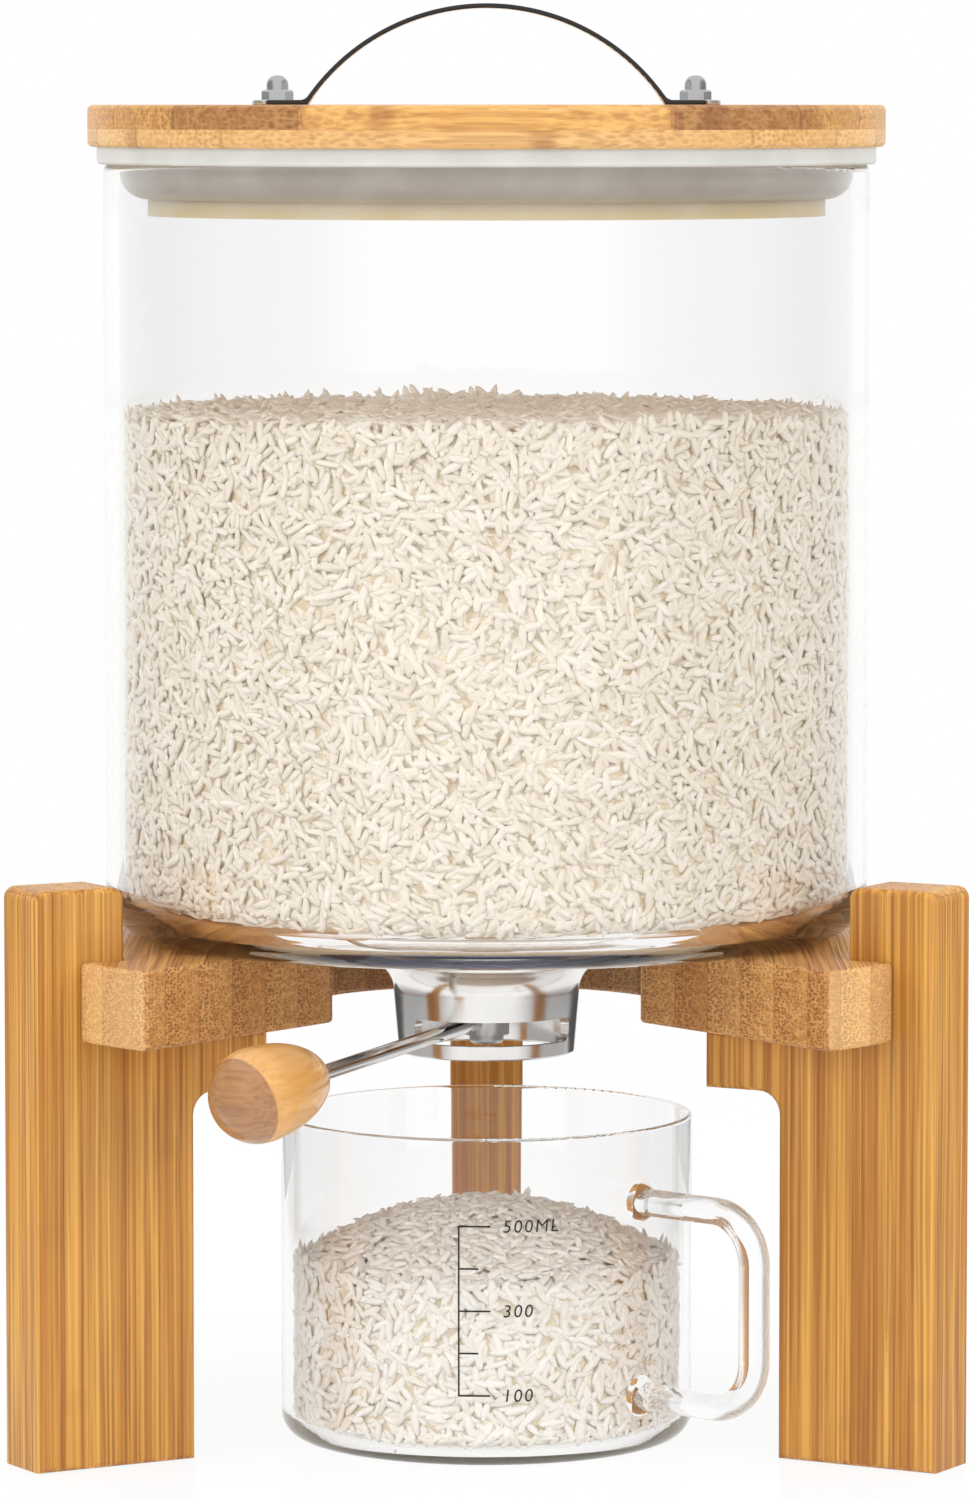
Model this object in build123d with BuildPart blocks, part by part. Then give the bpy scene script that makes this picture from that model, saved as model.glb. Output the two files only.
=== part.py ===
from build123d import *
from math import acos, cos, degrees, radians, sin, sqrt, tan
import os

# A glass rice dispenser on a bamboo stand, with a rotary outlet valve, a lid and a measuring cup.
# Lengths are millimetres. The origin is on the worktop, in the middle of the space that the
# object fills. +Z is up, and the front, which the lever and the shelf's gap face, is towards -Y.

# Fits and cuts
overrun = 1.0
slip_fit = 0.05
wood_fit = 0.15
rub_gap = 0.1

# Measuring cup
cup_diameter = 107.5
cup_height = 85.0
cup_wall = 2.0
cup_floor = 3.0
cup_corner = 6.5
cup_forward = 16.0
handle_depth = 41.5
handle_top = 70.0
handle_bottom = 12.5
handle_width = 9.0
handle_rod = 7.0
handle_bend = 13.0
handle_leg_gap = 2.2
weld_diameter = 13.0
weld_height = 4.0
weld_taper = 30.0

# Lever
lever_azimuth = 240.0
lever_travel = 56.0
lever_droop = 3.5
rod_diameter = 4.0
rod_pivot_gap = 0.7
rod_in_knob = 18.0
knob_diameter = 24.6
knob_length = 39.5
knob_end_reach = 127.5
knob_neck = 9.0
knob_cup_gap = 3.05

# Outlet valve
neck_bore = 39.0
neck_wall = 2.0
neck_gap = 1.0
neck_proud = 1.5
port_shoulder = 2.0
collar_wall = 1.7
collar_taper = 1.3
collar_length = 16.3
flare_reach = 7.3
flare_height = 7.7
flange_edge = 6.0
outlet_band = 3.8
collar_edge = 0.5
window_height = 6.4
window_corner = 2.4
window_left = 218.0
window_right = 335.0
window_margin = 2.55
gasket_thickness = 1.5
gasket_inset = 0.8
nut_flange = 2.5
nut_height = 8.0
nut_across_flats = 52.0
nut_chamfer = 1.0

# Shutter inside the valve
port_count = 3
port_azimuth = 30.0
port_arc = 46.0
port_rim = 1.0
port_corner = 1.2
port_plate_thickness = 2.0
boss_height = 6.0
boss_top_diameter = 8.0
blade_arc = 52.0
blade_overlap = 0.7
blade_thickness = 1.5
hub_diameter = 12.0
hub_wall = 1.9
hub_port_gap = 1.0
pivot_diameter = 4.0
pivot_head_diameter = 9.0
pivot_head_height = 2.4
ring_thickness = 1.2
ring_gap = 0.5
ring_groove = 0.5
ring_opening_arc = 40.0
stop_diameter = 2.0
stop_past_blade = 1.4

# Jar
jar_diameter = 200.0
jar_height = 201.5
jar_wall = 4.0
jar_floor = 6.0
jar_corner = 12.0
rim_round_share = 0.45

# Stand
shelf_thickness = 20.5
shelf_hole_diameter = 100.0
shelf_slot_depth = 13.0
shelf_round = 1.2
gap_corner = 2.0
gap_throat_share = 0.8
gap_mouth_share = 0.688
stub_gap = 12.0
stub_width = 25.0
stub_rise = 18.5
stub_corner = 3.0
leg_thickness = 20.0
leg_round = 1.6
foot_width = 45.0
bracket_overhang = 21.4
bracket_height = 15.0
bracket_fillet = 6.0
leg_screw_diameter = 4.0
leg_screw_head = 8.0
leg_screw_length = 28.0
dowel_diameter = 8.0
dowel_length = 22.0

# Lid
lid_overhang = 4.0
lower_ply = 4.7
top_ply = 6.2
ply_round = 1.5
seal_flange = 4.5
seal_flange_overhang = 1.6
seal_round = 1.1
seal_gap = 0.4
seal_depth = 13.3
seal_collar = 2.0
seal_skirt_height = 7.0
seal_foot_step = 7.2
seal_foot = 1.6
seal_foot_lip = 4.0
seal_wall = 1.6
strap_span = 96.0
strap_rise = 26.3
strap_thickness = 1.3
strap_width = 18.0
strap_bend = 2.5
strap_edge = 0.4
tab_length = 13.0
tab_corner = 5.0
bolt_diameter = 4.0
bolt_head_diameter = 8.0
bolt_head_height = 2.4
bolt_in_nut = 4.6
bolt_room = 0.15
cap_across_flats = 7.2
cap_hex_height = 2.6
cap_dome_diameter = 5.8
cap_height = 6.4
cap_chamfer = 0.5

# Radii and heights that follow from the sizes above
jar_radius = jar_diameter / 2
jar_inside = jar_radius - jar_wall
cup_radius = cup_diameter / 2
stub_inner = jar_radius + stub_gap
leg_reach = stub_inner + stub_width
shelf_radius = stub_inner + shelf_slot_depth
foot_inner = leg_reach - foot_width
bracket_inner = foot_inner - bracket_overhang
dowel_reach = (foot_inner + stub_inner) / 2
screw_reach = foot_inner - bracket_overhang / 2

neck_radius = neck_bore / 2 + neck_wall
collar_bore = neck_bore / 2 + port_shoulder
collar_end = collar_bore + collar_wall
collar_top = collar_end + collar_taper
flange_radius = collar_top + flare_reach
valve_drop = gasket_thickness + flange_edge + flare_height + collar_length
droop_slope = tan(radians(lever_droop))
lever_drop = valve_drop - outlet_band - window_height / 2 - collar_end * droop_slope
knob_radius = knob_diameter / 2
knob_centre = knob_end_reach - knob_radius
knob_drop = lever_drop + knob_centre * sin(radians(lever_droop)) + knob_radius

# The stand is just tall enough for the knob to pass over the cup's rim
shelf_top = cup_height + knob_cup_gap + knob_drop
shelf_height = shelf_top - shelf_thickness
bracket_bottom = shelf_height - bracket_height
leg_top = shelf_top + stub_rise
jar_base = shelf_top
jar_inner_floor = jar_base + jar_floor
jar_rim = jar_base + jar_height
lid_base = jar_rim + seal_flange
ply_joint = lid_base + lower_ply
lid_top = ply_joint + top_ply
lid_radius = jar_radius + lid_overhang

outlet = jar_base - valve_drop
window_bottom = outlet + outlet_band
window_top = window_bottom + window_height
lever_height = jar_base - lever_drop
ring_bottom = window_top + window_margin
port_plate_bottom = ring_bottom + ring_thickness
port_plate_top = port_plate_bottom + port_plate_thickness
flange_top = jar_base - gasket_thickness
gasket_top = jar_inner_floor + gasket_thickness
nut_top = gasket_top + nut_height
neck_top = nut_top + neck_proud

# The jar's axis stands off the origin, because the back leg reaches further than the knob
knob_front = knob_centre * cos(radians(lever_droop)) * abs(sin(radians(lever_azimuth))) + knob_radius
front_reach = max(knob_front, lid_radius)
axis_y = (front_reach - leg_reach) / 2

leg_azimuths = {"left_leg": 210, "right_leg": 330, "back_leg": 90}
jar_axis = Axis((0, axis_y, 0), (0, 0, 1))
section = Plane(origin=(0, axis_y, 0), x_dir=(1, 0, 0), z_dir=(0, -1, 0))


def level(height):
    """Horizontal plane at a height, centred on the jar's axis."""
    return Plane(origin=(0, axis_y, height))


def upright(azimuth, x=0.0, y=axis_y):
    """Upright plane through a vertical line: local x runs outwards at the azimuth, local y up."""
    turn = radians(azimuth)
    return Plane(
        origin=(x, y, 0),
        x_dir=(cos(turn), sin(turn), 0),
        z_dir=(sin(turn), -cos(turn), 0),
    )


def corner(point):
    """The vertex of the sketch in hand that lies at a point."""
    return vertices().sort_by_distance(point)[0]


def sector(inner, outer, arc):
    """Ring sector about the local x direction, with rounded corners."""
    with BuildSketch() as wedge:
        with BuildLine():
            outer_arc = CenterArc((0, 0), outer, -arc / 2, arc)
            inner_arc = CenterArc((0, 0), inner, -arc / 2, arc)
            Line(outer_arc @ 0, inner_arc @ 0)
            Line(outer_arc @ 1, inner_arc @ 1)
        make_face()
        fillet(vertices(), port_corner)
    return wedge.sketch


pieces = {}

# Legs: one plank profile, three times round the jar's axis
for leg_name, leg_azimuth in leg_azimuths.items():
    plank = upright(leg_azimuth)
    out_x = cos(radians(leg_azimuth))
    out_y = sin(radians(leg_azimuth))
    screw_mouth = Plane(
        origin=(screw_reach * out_x, axis_y + screw_reach * out_y, bracket_bottom),
        z_dir=(0, 0, -1),
    )
    with BuildPart() as leg:
        with BuildSketch(plank):
            with BuildLine():
                Polyline(
                    (foot_inner, 0),
                    (leg_reach, 0),
                    (leg_reach, leg_top),
                    (stub_inner, leg_top),
                    (stub_inner, shelf_height),
                    (bracket_inner, shelf_height),
                    (bracket_inner, bracket_bottom),
                    (foot_inner, bracket_bottom),
                    close=True,
                )
            make_face()
            fillet(corner((foot_inner, bracket_bottom)), bracket_fillet)
            fillet([corner((leg_reach, leg_top)), corner((stub_inner, leg_top))], stub_corner)
        extrude(amount=leg_thickness / 2, both=True)
        fillet(faces().filter_by(plank).edges(), leg_round)
        with Locations(screw_mouth):
            CounterSinkHole(
                radius=leg_screw_diameter / 2 + slip_fit,
                counter_sink_radius=leg_screw_head / 2 + slip_fit,
                depth=bracket_height + overrun,
                counter_sink_angle=90,
            )
        with BuildSketch(level(shelf_height)):
            with PolarLocations(dowel_reach, 1, start_angle=leg_azimuth):
                Circle(dowel_diameter / 2 + slip_fit)
        extrude(amount=-dowel_length / 2, mode=Mode.SUBTRACT)
    pieces[leg_name] = leg.part

# Ring shelf: a thick ring with a flared gap at the front and a slot for each leg's stub
hole_radius = shelf_hole_diameter / 2
throat_x = hole_radius * gap_throat_share
throat_y = sqrt(hole_radius**2 - throat_x**2)
mouth_x = shelf_radius * gap_mouth_share
mouth_y = sqrt(shelf_radius**2 - mouth_x**2)
past_x = 2 * mouth_x - throat_x
past_y = 2 * mouth_y - throat_y
with BuildPart() as ring_shelf:
    with BuildSketch(level(shelf_height)):
        Circle(shelf_radius)
        Circle(hole_radius, mode=Mode.SUBTRACT)
        with BuildLine():
            Polyline(
                (-throat_x, -throat_y),
                (-past_x, -past_y),
                (past_x, -past_y),
                (throat_x, -throat_y),
                close=True,
            )
        make_face(mode=Mode.SUBTRACT)
        with PolarLocations(stub_inner - wood_fit, len(leg_azimuths), start_angle=leg_azimuths["back_leg"]):
            Rectangle(
                shelf_slot_depth + wood_fit + overrun,
                leg_thickness + 2 * wood_fit,
                align=(Align.MIN, Align.CENTER),
                mode=Mode.SUBTRACT,
            )
    extrude(amount=shelf_thickness)
    fillet(edges().filter_by(Axis.Z).sort_by(Axis.Y)[:2], gap_corner)
    fillet(edges().group_by(Axis.Z)[0] + edges().group_by(Axis.Z)[-1], shelf_round)
    with BuildSketch(level(shelf_height)):
        with PolarLocations(dowel_reach, len(leg_azimuths), start_angle=leg_azimuths["back_leg"]):
            Circle(dowel_diameter / 2 + slip_fit)
    extrude(amount=dowel_length / 2 + slip_fit, mode=Mode.SUBTRACT)
    with BuildSketch(level(shelf_height)):
        with PolarLocations(screw_reach, len(leg_azimuths), start_angle=leg_azimuths["back_leg"]):
            Circle(leg_screw_diameter / 2 + slip_fit)
    extrude(amount=leg_screw_length - bracket_height + slip_fit, mode=Mode.SUBTRACT)
pieces["ring_shelf"] = ring_shelf.part

# Stand fasteners: countersunk screws from below and dowels across the joint
leg_screw_cone = (leg_screw_head - leg_screw_diameter) / 2
with BuildPart() as leg_screws:
    for leg_azimuth in leg_azimuths.values():
        turn = radians(leg_azimuth)
        screw_x = screw_reach * cos(turn)
        screw_y = axis_y + screw_reach * sin(turn)
        with BuildSketch(upright(leg_azimuth, screw_x, screw_y)):
            with BuildLine():
                Polyline(
                    (0, bracket_bottom),
                    (leg_screw_head / 2, bracket_bottom),
                    (leg_screw_diameter / 2, bracket_bottom + leg_screw_cone),
                    (leg_screw_diameter / 2, bracket_bottom + leg_screw_length - leg_screw_diameter),
                    (0, bracket_bottom + leg_screw_length),
                    close=True,
                )
            make_face()
        revolve(axis=Axis((screw_x, screw_y, 0), (0, 0, 1)))
pieces["leg_screws"] = leg_screws.part

with BuildPart() as leg_dowels:
    with BuildSketch(level(shelf_height)):
        with PolarLocations(dowel_reach, len(leg_azimuths), start_angle=leg_azimuths["back_leg"]):
            Circle(dowel_diameter / 2)
    extrude(amount=dowel_length / 2, both=True)
pieces["leg_dowels"] = leg_dowels.part

# Jar: a thick glass cylinder with rounded corners and a hole in its floor
jar_hole = neck_radius + neck_gap
with BuildPart() as glass_jar:
    with BuildSketch(section):
        with BuildLine():
            Polyline(
                (jar_hole, jar_base),
                (jar_radius, jar_base),
                (jar_radius, jar_rim),
                (jar_inside, jar_rim),
                (jar_inside, jar_inner_floor),
                (jar_hole, jar_inner_floor),
                close=True,
            )
        make_face()
        fillet(corner((jar_radius, jar_base)), jar_corner)
        fillet(corner((jar_inside, jar_inner_floor)), jar_corner - jar_wall)
        fillet([corner((jar_radius, jar_rim)), corner((jar_inside, jar_rim))], jar_wall * rim_round_share)
    revolve(axis=jar_axis)
pieces["glass_jar"] = glass_jar.part

# Outlet valve body: threaded neck, flange, concave flare and a slightly tapered collar
with BuildPart() as window:
    with BuildSketch(upright(window_left)):
        with Locations((neck_bore / 2, window_bottom)):
            Rectangle(collar_top - neck_bore / 2 + overrun, window_height, align=(Align.MIN, Align.MIN))
    revolve(axis=jar_axis, revolution_arc=window_right - window_left)
    fillet(edges().filter_by(GeomType.LINE).filter_by(Axis.Z, reverse=True), window_corner)

groove_radius = collar_bore + ring_groove
with BuildPart() as valve_body:
    with BuildSketch(section):
        with BuildLine():
            Polyline(
                (collar_top, flange_top - flange_edge - flare_height),
                (collar_end, outlet),
                (collar_bore, outlet),
                (collar_bore, ring_bottom - slip_fit),
                (groove_radius, ring_bottom - slip_fit),
                (groove_radius, port_plate_bottom),
                (collar_bore, port_plate_bottom),
                (collar_bore, port_plate_top),
                (neck_bore / 2, port_plate_top),
                (neck_bore / 2, neck_top),
                (neck_radius, neck_top),
                (neck_radius, flange_top),
                (flange_radius, flange_top),
                (flange_radius, flange_top - flange_edge),
            )
            EllipticalCenterArc(
                (flange_radius, flange_top - flange_edge - flare_height),
                flare_reach,
                flare_height,
                start_angle=90,
                arc_size=90,
            )
        make_face()
        fillet(
            [
                corner((collar_end, outlet)),
                corner((collar_bore, outlet)),
                corner((flange_radius, flange_top)),
                corner((flange_radius, flange_top - flange_edge)),
            ],
            collar_edge,
        )
    revolve(axis=jar_axis)
    add(window.part, mode=Mode.SUBTRACT)
pieces["valve_body"] = valve_body.part

# Gaskets above and below the glass floor
gasket_radius = flange_radius - gasket_inset
for gasket_name, gasket_base in {"lower_gasket": flange_top, "upper_gasket": jar_inner_floor}.items():
    with BuildPart() as gasket:
        with BuildSketch(level(gasket_base)):
            Circle(gasket_radius)
            Circle(neck_radius + slip_fit, mode=Mode.SUBTRACT)
        extrude(amount=gasket_thickness)
    pieces[gasket_name] = gasket.part

# Lock nut: a hexagon ring on a round flange, inside the jar
with BuildPart() as lock_nut:
    with BuildSketch(level(gasket_top)):
        Circle(gasket_radius)
    extrude(amount=nut_flange)
    with BuildSketch(level(gasket_top)):
        RegularPolygon(nut_across_flats / 2, 6, major_radius=False)
    extrude(amount=nut_height)
    chamfer(edges().group_by(Axis.Z)[-1], nut_chamfer)
    with BuildSketch(level(gasket_top)):
        Circle(neck_radius + slip_fit)
    extrude(amount=nut_height, mode=Mode.SUBTRACT)
pieces["lock_nut"] = lock_nut.part

# Port plate: a fixed disc with sector ports and a pointed boss that parts the grain
port_inner = hub_diameter / 2 + hub_port_gap
port_outer = neck_bore / 2 - port_rim
stop_azimuth = port_azimuth + (360 / port_count - lever_travel) / 2
stop_reach = (port_inner + port_outer) / 2
port_shape = sector(port_inner, port_outer, port_arc)
with BuildPart() as port_plate:
    with BuildSketch(level(port_plate_bottom)):
        Circle(collar_bore - slip_fit)
        with PolarLocations(0, port_count, start_angle=port_azimuth):
            add(port_shape, mode=Mode.SUBTRACT)
        with PolarLocations(stop_reach, 1, start_angle=stop_azimuth):
            Circle(stop_diameter / 2 + slip_fit, mode=Mode.SUBTRACT)
    extrude(amount=port_plate_thickness)
    with BuildSketch(level(port_plate_top)):
        Circle(hub_diameter / 2)
    with BuildSketch(level(port_plate_top + boss_height)):
        Circle(boss_top_diameter / 2)
    loft()
    with BuildSketch(level(port_plate_bottom)):
        Circle(pivot_diameter / 2 + slip_fit)
    extrude(amount=port_plate_thickness + boss_height, mode=Mode.SUBTRACT)
pieces["port_plate"] = port_plate.part

# Retaining ring: an open snap ring in the collar's groove, under the port plate
blade_radius = port_outer + blade_overlap
with BuildPart() as retaining_ring:
    with BuildSketch(upright(lever_azimuth)):
        with Locations((blade_radius + ring_gap, ring_bottom)):
            Rectangle(
                groove_radius - slip_fit - blade_radius - ring_gap,
                ring_thickness,
                align=(Align.MIN, Align.MIN),
            )
    revolve(axis=jar_axis, revolution_arc=360 - ring_opening_arc)
pieces["retaining_ring"] = retaining_ring.part

# Shutter: a hub with one blade for each port, clear of the ports when the lever is at rest
blade_top = port_plate_bottom - rub_gap
blade_bottom = blade_top - blade_thickness
hub_bottom = lever_height - rod_diameter / 2 - hub_wall
blade_shape = sector(pivot_diameter, blade_radius, blade_arc)
rod_turn = radians(lever_azimuth)
rod_dip = radians(lever_droop)
rod_line = Vector(cos(rod_turn) * cos(rod_dip), sin(rod_turn) * cos(rod_dip), -sin(rod_dip))
rod_root = Vector(0, axis_y, lever_height)
rod_axis = Axis(rod_root, rod_line)
rod_start = pivot_diameter / 2 + rod_pivot_gap
knob_start = knob_end_reach - knob_length
rod_end = knob_start + rod_in_knob
with BuildPart() as shutter:
    with BuildSketch(level(blade_bottom)):
        Circle(hub_diameter / 2)
        with PolarLocations(0, port_count, start_angle=port_azimuth - lever_travel):
            add(blade_shape)
    extrude(amount=blade_thickness)
    with BuildSketch(level(hub_bottom)):
        Circle(hub_diameter / 2)
    extrude(amount=blade_bottom - hub_bottom)
    with BuildSketch(level(hub_bottom)):
        Circle(pivot_diameter / 2 + slip_fit)
    extrude(amount=blade_top - hub_bottom, mode=Mode.SUBTRACT)
    with BuildSketch(Plane(origin=rod_root + rod_line * rod_start, z_dir=rod_line)):
        Circle(rod_diameter / 2 + slip_fit)
    extrude(amount=hub_diameter, mode=Mode.SUBTRACT)
pieces["shutter"] = shutter.part

# Pivot screw through the hub into the port plate, and the pin that ends the shutter's travel
pivot_head_top = hub_bottom - rub_gap
with BuildPart() as pivot_screw:
    with BuildSketch(level(pivot_head_top - pivot_head_height)):
        Circle(pivot_head_diameter / 2)
    extrude(amount=pivot_head_height)
    fillet(edges().group_by(Axis.Z)[0], pivot_head_height / 2)
    with BuildSketch(level(pivot_head_top)):
        Circle(pivot_diameter / 2)
    extrude(amount=port_plate_top + boss_height / 2 - pivot_head_top)
pieces["pivot_screw"] = pivot_screw.part

with BuildPart() as stop_pin:
    with BuildSketch(level(blade_bottom - stop_past_blade)):
        with PolarLocations(stop_reach, 1, start_angle=stop_azimuth):
            Circle(stop_diameter / 2)
    extrude(amount=port_plate_top - blade_bottom + stop_past_blade)
pieces["stop_pin"] = stop_pin.part

# Lever: a straight rod from the hub out through the window, with an egg-shaped knob
with BuildPart() as lever_rod:
    with BuildSketch(Plane(origin=rod_root + rod_line * rod_start, z_dir=rod_line)):
        Circle(rod_diameter / 2)
    extrude(amount=rod_end - rod_start)
pieces["lever_rod"] = lever_rod.part

knob_taper = (knob_centre - knob_start) / sqrt(1 - (knob_neck / knob_diameter) ** 2)
knob_taper_arc = degrees(acos((knob_centre - knob_start) / knob_taper))
with BuildPart() as lever_knob:
    with BuildSketch(Plane(origin=rod_root, x_dir=rod_line, z_dir=(sin(rod_turn), -cos(rod_turn), 0))):
        with BuildLine():
            egg = EllipticalCenterArc(
                (knob_centre, 0),
                knob_taper,
                knob_radius,
                start_angle=90,
                arc_size=90 - knob_taper_arc,
            )
            cap = CenterArc((knob_centre, 0), knob_radius, 0, 90)
            Polyline(egg @ 1, (knob_start, 0), cap @ 0)
        make_face()
    revolve(axis=rod_axis)
    with BuildSketch(Plane(origin=rod_root + rod_line * rod_end, z_dir=-rod_line)):
        Circle(rod_diameter / 2 + slip_fit)
    extrude(amount=rod_in_knob + overrun, mode=Mode.SUBTRACT)
pieces["lever_knob"] = lever_knob.part

# Lid boards: two plies, bored for the strap's screws
bolt_reach = strap_span / 2 + tab_length / 2
bolt_spots = [(-bolt_reach, 0), (bolt_reach, 0)]
bolt_hole = bolt_diameter / 2 + bolt_room
with BuildPart() as lid_lower_ply:
    with BuildSketch(level(lid_base)):
        Circle(lid_radius)
    extrude(amount=lower_ply)
    fillet(edges().group_by(Axis.Z)[0], ply_round)
    with BuildSketch(level(lid_base)):
        with Locations(*bolt_spots):
            Circle(bolt_hole)
    extrude(amount=lower_ply, mode=Mode.SUBTRACT)
    with BuildSketch(level(lid_base)):
        with Locations(*bolt_spots):
            Circle(bolt_head_diameter / 2 + bolt_room)
    extrude(amount=bolt_head_height + rub_gap, mode=Mode.SUBTRACT)
pieces["lid_lower_ply"] = lid_lower_ply.part

with BuildPart() as lid_top_ply:
    with BuildSketch(level(ply_joint)):
        Circle(lid_radius)
    extrude(amount=top_ply)
    fillet(edges().group_by(Axis.Z)[-1], ply_round)
    with BuildSketch(level(ply_joint)):
        with Locations(*bolt_spots):
            Circle(bolt_hole)
    extrude(amount=top_ply, mode=Mode.SUBTRACT)
pieces["lid_top_ply"] = lid_top_ply.part

# Lid plug and the silicone seal that is stretched round it
skirt_radius = jar_inside - seal_gap
seal_foot_radius = skirt_radius - seal_foot_step
plug_radius = seal_foot_radius - seal_wall
seal_bottom = jar_rim - seal_depth
plug_bottom = seal_bottom + seal_foot
skirt_top = jar_rim - seal_collar
with BuildPart() as lid_plug:
    with BuildSketch(level(plug_bottom)):
        Circle(plug_radius - slip_fit)
    extrude(amount=lid_base - plug_bottom)
pieces["lid_plug"] = lid_plug.part

with BuildPart() as lid_seal:
    with BuildSketch(section):
        with BuildLine():
            skirt = EllipticalCenterArc(
                (seal_foot_radius, skirt_top),
                seal_foot_step,
                seal_skirt_height,
                start_angle=270,
                arc_size=90,
            )
            Polyline(
                skirt @ 1,
                (skirt_radius, jar_rim),
                (jar_radius + seal_flange_overhang, jar_rim),
                (jar_radius + seal_flange_overhang, lid_base),
                (plug_radius, lid_base),
                (plug_radius, plug_bottom),
                (plug_radius - seal_foot_lip, plug_bottom),
                (plug_radius - seal_foot_lip, seal_bottom),
                (seal_foot_radius, seal_bottom),
                skirt @ 0,
            )
        make_face()
        fillet(corner((jar_radius + seal_flange_overhang, jar_rim)), seal_round)
    revolve(axis=jar_axis)
pieces["lid_seal"] = lid_seal.part

# Lid handle: a bent strap with a flat tab at each foot
strap_radius = (strap_span**2 / 4 + strap_rise**2) / (2 * strap_rise)
strap_centre = lid_top + strap_rise - strap_radius
with BuildPart() as lid_handle:
    with BuildSketch(section):
        with Locations((0, strap_centre)):
            Circle(strap_radius)
            Circle(strap_radius - strap_thickness, mode=Mode.SUBTRACT)
        with Locations((0, lid_top)):
            Rectangle(2 * strap_span, 2 * strap_rise, align=(Align.CENTER, Align.MIN), mode=Mode.INTERSECT)
        with Locations((-strap_span / 2, lid_top), (strap_span / 2, lid_top)):
            Rectangle(2 * tab_length, strap_thickness, align=(Align.CENTER, Align.MIN))
        with Locations((0, strap_centre)):
            Circle(strap_radius - strap_thickness, mode=Mode.SUBTRACT)
        fillet(vertices().group_by(Axis.Y)[1].sort_by(Axis.X)[1:-1], strap_bend)
    extrude(amount=strap_width / 2, both=True)
    fillet(edges().filter_by(Axis.Z).group_by(Axis.X)[0], tab_corner)
    fillet(edges().filter_by(Axis.Z).group_by(Axis.X)[-1], tab_corner)
    fillet(faces().filter_by(Axis.Y).edges().filter_by(Axis.Z, reverse=True), strap_edge)
    with BuildSketch(level(lid_top)):
        with Locations(*bolt_spots):
            Circle(bolt_hole)
    extrude(amount=strap_thickness, mode=Mode.SUBTRACT)
pieces["lid_handle"] = lid_handle.part

# Screws and domed nuts that hold the strap
with BuildPart() as handle_screws:
    with BuildSketch(level(lid_base + rub_gap)):
        with Locations(*bolt_spots):
            Circle(bolt_head_diameter / 2)
    extrude(amount=bolt_head_height)
    with BuildSketch(level(lid_base + rub_gap + bolt_head_height)):
        with Locations(*bolt_spots):
            Circle(bolt_diameter / 2)
    extrude(amount=lid_top + strap_thickness + bolt_in_nut - lid_base - rub_gap - bolt_head_height)
pieces["handle_screws"] = handle_screws.part

nut_base = lid_top + strap_thickness
with BuildPart() as cap_nuts:
    with BuildSketch(level(nut_base)):
        with Locations(*bolt_spots):
            RegularPolygon(cap_across_flats / 2, 6, major_radius=False)
    extrude(amount=cap_hex_height)
    chamfer(edges().group_by(Axis.Z)[-1], cap_chamfer)
    with BuildSketch(level(nut_base)):
        with Locations(*bolt_spots):
            Circle(cap_dome_diameter / 2)
    extrude(amount=cap_height)
    fillet(edges().group_by(Axis.Z)[-1], cap_dome_diameter * rim_round_share)
    with BuildSketch(level(nut_base)):
        with Locations(*bolt_spots):
            Circle(bolt_diameter / 2 + slip_fit)
    extrude(amount=bolt_in_nut + slip_fit, mode=Mode.SUBTRACT)
pieces["cap_nuts"] = cap_nuts.part

# Measuring cup, forward of the jar's axis. Its handle is a bent glass rod, fused to the wall and
# turned to the side as far as the right leg leaves room.
cup_y = axis_y - cup_forward
cup_axis = Axis((0, cup_y, 0), (0, 0, 1))
cup_inside = cup_radius - cup_wall
leg_turn = radians(leg_azimuths["right_leg"])
leg_room = foot_inner * cos(leg_turn) - leg_thickness / 2 * abs(sin(leg_turn))
handle_centre = cup_radius + handle_depth - handle_rod / 2
handle_cosine = min(1.0, (leg_room - handle_leg_gap - handle_width / 2) / handle_centre)
handle_azimuth = -degrees(acos(handle_cosine))
handle_plane = upright(handle_azimuth, 0, cup_y)
upper_arm = handle_top - handle_rod / 2
lower_arm = handle_bottom + handle_rod / 2
with BuildLine(handle_plane) as handle_path:
    FilletPolyline(
        (cup_inside, upper_arm),
        (handle_centre, upper_arm),
        (handle_centre, lower_arm),
        (cup_inside, lower_arm),
        radius=handle_bend,
    )
with BuildPart() as cup_glass:
    with BuildSketch(upright(0, 0, cup_y)):
        with BuildLine():
            Polyline(
                (0, 0),
                (cup_radius, 0),
                (cup_radius, cup_height),
                (cup_inside, cup_height),
                (cup_inside, cup_floor),
                (0, cup_floor),
                close=True,
            )
        make_face()
        fillet(corner((cup_radius, 0)), cup_corner)
        fillet(corner((cup_inside, cup_floor)), cup_corner - cup_wall)
        fillet([corner((cup_radius, cup_height)), corner((cup_inside, cup_height))], cup_wall * rim_round_share)
    revolve(axis=cup_axis)
    with BuildSketch(Plane(origin=handle_path.line @ 0, x_dir=handle_plane.z_dir, z_dir=handle_plane.x_dir)):
        Ellipse(handle_width / 2, handle_rod / 2)
    sweep(path=handle_path.wires()[0])
    for arm in (upper_arm, lower_arm):
        weld_spot = handle_plane.from_local_coords((cup_inside, arm, 0))
        with BuildSketch(Plane(origin=weld_spot, x_dir=handle_plane.z_dir, z_dir=handle_plane.x_dir)):
            Circle(weld_diameter / 2)
        extrude(amount=cup_wall + weld_height, taper=weld_taper)
pieces["cup_glass"] = cup_glass.part

os.makedirs("parts", exist_ok=True)
for piece_name, piece in pieces.items():
    piece.label = piece_name
    export_step(piece, f"parts/{piece_name}.step")
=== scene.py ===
import math

import bpy
import numpy as np
from mathutils import Matrix, Vector


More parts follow.
